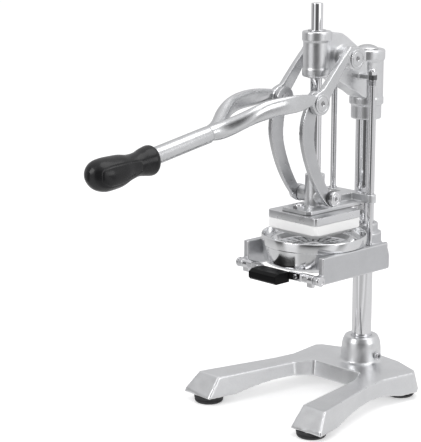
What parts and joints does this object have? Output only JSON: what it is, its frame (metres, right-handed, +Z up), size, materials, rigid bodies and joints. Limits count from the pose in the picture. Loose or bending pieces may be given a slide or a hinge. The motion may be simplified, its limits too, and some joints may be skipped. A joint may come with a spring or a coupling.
{
  "type": "lever citrus juice press",
  "caption": "Hand lever citrus press: forked lever and bow links drive a square presser down a column into a bowl, over a splayed cast base.",
  "frame": {"origin": "on the table, under the middle of the press's outline", "axes": "+Z up, the user stands at -Y, the column is at +Y, +X is the user's right"},
  "size_m": [0.233, 0.4856, 0.494],
  "materials": {
    "cast_aluminium": "satin polished casting",
    "polished_aluminium": "polished casting",
    "machined_aluminium": "machined plate",
    "column_chrome": "hard chromed tube",
    "rod_chrome": "bright plated",
    "screw_steel": "turned steel",
    "black_steel": "black oxide",
    "bowl_steel": "polished stainless",
    "white_nylon": "food grade nylon",
    "grip_plastic": "gloss moulded",
    "foot_rubber": "matt rubber"
  },
  "bodies": {
    "frame": {"base_casting": "cast_aluminium", "rubber_feet": "foot_rubber", "column_tube": "column_chrome", "base_clamp_screw": "screw_steel", "bracket_casting": "cast_aluminium", "bracket_clamp_screws": "screw_steel", "head_casting": "cast_aluminium", "head_clamp_screws": "screw_steel", "column_cap": "cast_aluminium", "shaft_bushes": "screw_steel", "guide_rods": "rod_chrome", "guide_rod_cap_nuts": "rod_chrome", "guide_rod_collars": "black_steel", "bowl": "bowl_steel", "strainer": "bowl_steel", "latch_pins": "rod_chrome"},
    "lever": {"lever_casting": "polished_aluminium", "lever_grip": "grip_plastic", "lever_pivot_pin": "screw_steel", "lever_pivot_caps": "polished_aluminium", "link_upper_pins": "screw_steel", "link_upper_caps": "polished_aluminium"},
    "bow_links": {"bow_link_left": "cast_aluminium", "bow_link_right": "cast_aluminium", "link_lower_studs": "screw_steel", "link_lower_washers": "black_steel", "link_lower_nuts": "rod_chrome"},
    "press_head": {"press_head_casting": "cast_aluminium", "press_shaft": "column_chrome", "crossbar_bushes": "screw_steel", "press_plate": "machined_aluminium", "presser": "white_nylon", "plate_bolts": "screw_steel", "plate_cap_nuts": "rod_chrome"},
    "latch": {"latch_bail": "rod_chrome", "latch_grip": "grip_plastic", "latch_screws": "screw_steel"}
  },
  "joints": [
    {"name": "lever_lift", "type": "hinge", "parent": "frame", "child": "lever", "pos_m": [0, 0.1445, 0.4282], "axis": [-1, 0, 0], "range_deg": [0, 76.46]},
    {"name": "link_swing", "type": "hinge", "parent": "lever", "child": "bow_links", "pos_m": [0, 0.0842, 0.3807], "axis": [1, 0, 0], "range_deg": [0, 76.46]},
    {"name": "press_head_slide", "type": "slide", "parent": "frame", "child": "press_head", "axis": [0, 0, 1], "range_m": [0, 0.095]},
    {"name": "latch_swing", "type": "hinge", "parent": "frame", "child": "latch", "pos_m": [0, 0.0529, 0.1765], "axis": [1, 0, 0], "range_deg": [0, 80]}
  ],
  "couplings": [
    {"joint": "link_swing", "follows": "lever_lift", "ratio": 1},
    {"joint": "press_head_slide", "follows": "lever_lift", "m_per_rad": 0.071182}
  ]
}
